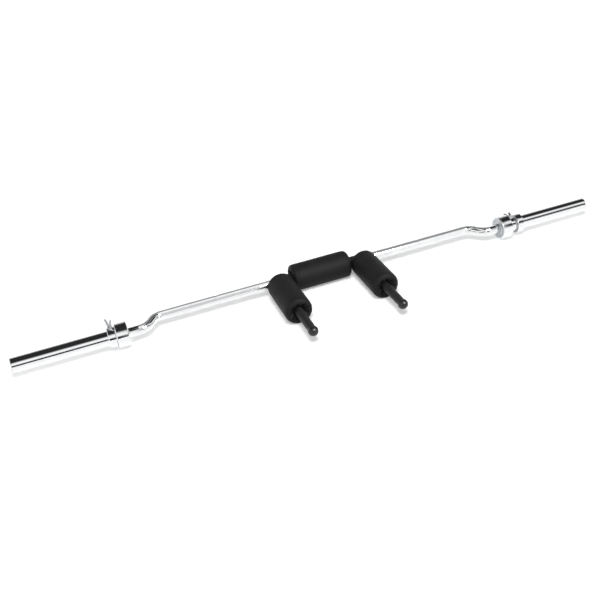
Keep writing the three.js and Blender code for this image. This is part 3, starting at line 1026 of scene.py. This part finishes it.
world = bpy.data.worlds.new("studio_world")
world.use_nodes = True
bpy.context.scene.world = world
tree = world.node_tree
tree.nodes.clear()
rays = add_node(tree, "LightPath")
clear = add_node(
    tree,
    "Math",
    {0: rays.outputs["Is Camera Ray"], 1: rays.outputs["Is Glossy Ray"]},
    operation="MAXIMUM",
)
clear = add_node(
    tree, "Math", {0: clear.outputs[0], 1: rays.outputs["Is Transmission Ray"]}, operation="MAXIMUM"
)
strength = add_node(tree, "MapRange", {"Value": clear.outputs[0]}, To_Min=0.45, To_Max=1.0)
sky = add_node(tree, "Background", {"Strength": strength.outputs[0]}, Color=(1, 1, 1, 1))
add_node(tree, "OutputWorld", {"Surface": sky.outputs[0]})


def select_points(piece, wanted):
    """Selects in edit mode the points of a piece whose places are wanted, and nothing else."""
    bpy.ops.object.mode_set(mode="EDIT")
    bpy.ops.mesh.select_mode(type="VERT")
    bpy.ops.mesh.select_all(action="DESELECT")
    bpy.ops.object.mode_set(mode="OBJECT")
    for point in piece.data.vertices:
        point.select = wanted(point.co)
    bpy.ops.object.mode_set(mode="EDIT")


arch_radius = 3.0
arch_back = sleeve_y + arch_radius + 0.5
panel_tones = {"white": "#FFFFFF", "pale": "#D4D4D4", "grey": "#909090", "black": "#2A2A2A"}


def hang_panels(name, x_from, x_to, panels):
    """A row of plain cards and silks in an arch over the bar, which only its plating mirrors.

    Each panel is a tone and the degrees it covers, from behind the bar, at 0, over it and down to
    the front, at 180. The light fades from one panel to the next across the gap between them.
    """
    bpy.ops.object.select_all(action="DESELECT")
    bpy.ops.mesh.primitive_plane_add(size=1, location=((x_from + x_to) / 2, arch_back, bar_height))
    arch = bpy.context.object
    arch.name = name
    arch.scale = (x_to - x_from, 1, 1)
    bpy.ops.object.transform_apply()
    select_points(arch, lambda place: place.y > arch_back)
    bpy.ops.mesh.delete(type="VERT")
    bpy.ops.mesh.select_all(action="SELECT")
    bpy.ops.mesh.spin(steps=90, angle=-math.pi, center=(0, *sides_line), axis=(1, 0, 0))
    bpy.ops.object.mode_set(mode="OBJECT")
    silk, tree = start_material(name + "_silk")
    place = add_node(tree, "TexCoord")
    centred = add_node(
        tree,
        "Mapping",
        {"Vector": place.outputs["Object"]},
        vector_type="POINT",
        Location=(0, -sleeve_y, -bar_height),
    )
    split = add_node(tree, "SeparateXYZ", {"Vector": centred.outputs[0]})
    turn = add_node(
        tree, "Math", {0: split.outputs["Z"], 1: split.outputs["Y"]}, operation="ARCTAN2"
    )
    share = add_node(tree, "MapRange", {"Value": turn.outputs[0]}, From_Max=math.pi)
    ramp = add_node(tree, "ValToRGB", {"Fac": share.outputs[0]})
    edges = [(degrees / 180, tone) for tone, *ends in panels for degrees in ends]
    ramp.color_ramp.elements.remove(ramp.color_ramp.elements[1])
    for position, _ in edges[1:]:
        ramp.color_ramp.elements.new(position)
    for element, (position, tone) in zip(ramp.color_ramp.elements, edges):
        element.position = position
        element.color = linear(panel_tones[tone])
    glow = add_node(tree, "Emission", {"Color": ramp.outputs[0]}, Strength=1.0)
    add_node(tree, "OutputMaterial", {"Surface": glow.outputs[0]})
    arch.data.materials.append(silk)
    arch.visible_camera = False
    arch.visible_diffuse = False
    arch.visible_shadow = False


for name, x_from, x_to, panels in (
    (
        "left_sleeve_panels",
        -3.2,
        -0.605,
        (("white", 0, 2), ("black", 40, 112), ("white", 132, 154), ("black", 161, 178)),
    ),
    (
        "left_bend_panels",
        -0.605,
        -0.5,
        (("white", 0, 10), ("black", 40, 130), ("white", 155, 180)),
    ),
    (
        "left_bar_panels",
        -0.5,
        0.5,
        (("white", 0, 20), ("grey", 35, 65), ("white", 80, 105), ("pale", 130, 165)),
    ),
    ("pad_panels", 0.5, 1.25, (("black", 0, 110), ("white", 120, 148), ("black", 158, 180))),
    (
        "right_bar_panels",
        1.25,
        2.135,
        (("white", 0, 30), ("grey", 45, 90), ("white", 120, 180)),
    ),
    (
        "right_bend_panels",
        2.135,
        2.425,
        (("white", 0, 20), ("black", 60, 100), ("pale", 140, 150), ("white", 165, 180)),
    ),
    (
        "right_sleeve_panels",
        2.425,
        6.5,
        (
            ("white", 0, 10),
            ("black", 44, 94),
            ("white", 114, 124),
            ("black", 140, 153),
            ("white", 172, 180),
        ),
    ),
):
    hang_panels(name, x_from, x_to, panels)

for name, place, size, power, seen in (
    ("overhead_softbox", (-0.45, -1.6, 2.7), (1.0, 1.0), 56, "visible_glossy"),
    ("front_strip", (0.95, -1.95, 2.15), (1.0, 0.5), 85, "visible_diffuse"),
):
    bpy.ops.object.light_add(type="AREA", location=place)
    lamp = bpy.context.object
    lamp.name = name
    lamp.data.shape = "RECTANGLE"
    lamp.data.size, lamp.data.size_y = size
    lamp.data.energy = power
    lamp.rotation_euler = lamp.location.to_track_quat("Z", "Y").to_euler()
    setattr(lamp, seen, False)

# Camera: the pinhole camera that was fitted to the photograph, 760 pixels from a 600 pixel picture.
picture_width = 600
picture_distance = 760
sensor_width = 36
bpy.ops.object.camera_add(
    location=(-0.7607, -2.1835, 1.4221),
    rotation=[math.radians(turn) for turn in (57.0432, 5.5111, -20.7399)],
)
camera = bpy.context.object
camera.data.sensor_width = sensor_width
camera.data.lens = sensor_width * picture_distance / picture_width
camera.data.clip_end = 50
bpy.context.scene.camera = camera
bpy.context.scene.view_settings.view_transform = "Standard"
